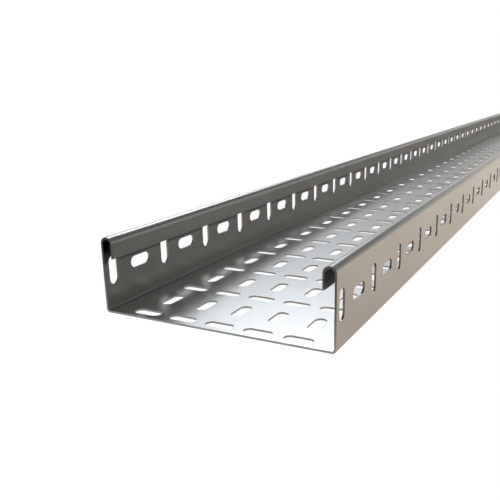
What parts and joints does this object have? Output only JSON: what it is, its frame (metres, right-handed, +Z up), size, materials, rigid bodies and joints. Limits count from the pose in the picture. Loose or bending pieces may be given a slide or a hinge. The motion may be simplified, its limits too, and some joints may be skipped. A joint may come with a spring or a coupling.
{
  "type": "perforated cable tray",
  "caption": "Long shallow U-shaped tray folded from sheet steel, with rolled-in rims and rows of crosswise and lengthwise round-ended slots in its floor and walls.",
  "frame": {"origin": "centre of the underside, halfway along the length", "axes": "+X along the length, away from the end whose first row of slots is 7.5 mm in; +Y across the width; +Z up, out of the open top"},
  "size_m": [3, 0.15, 0.047],
  "materials": {
    "tray_steel": "satin rolled sheet steel"
  },
  "bodies": {
    "root": {"cable_tray": "tray_steel"}
  },
  "joints": []
}
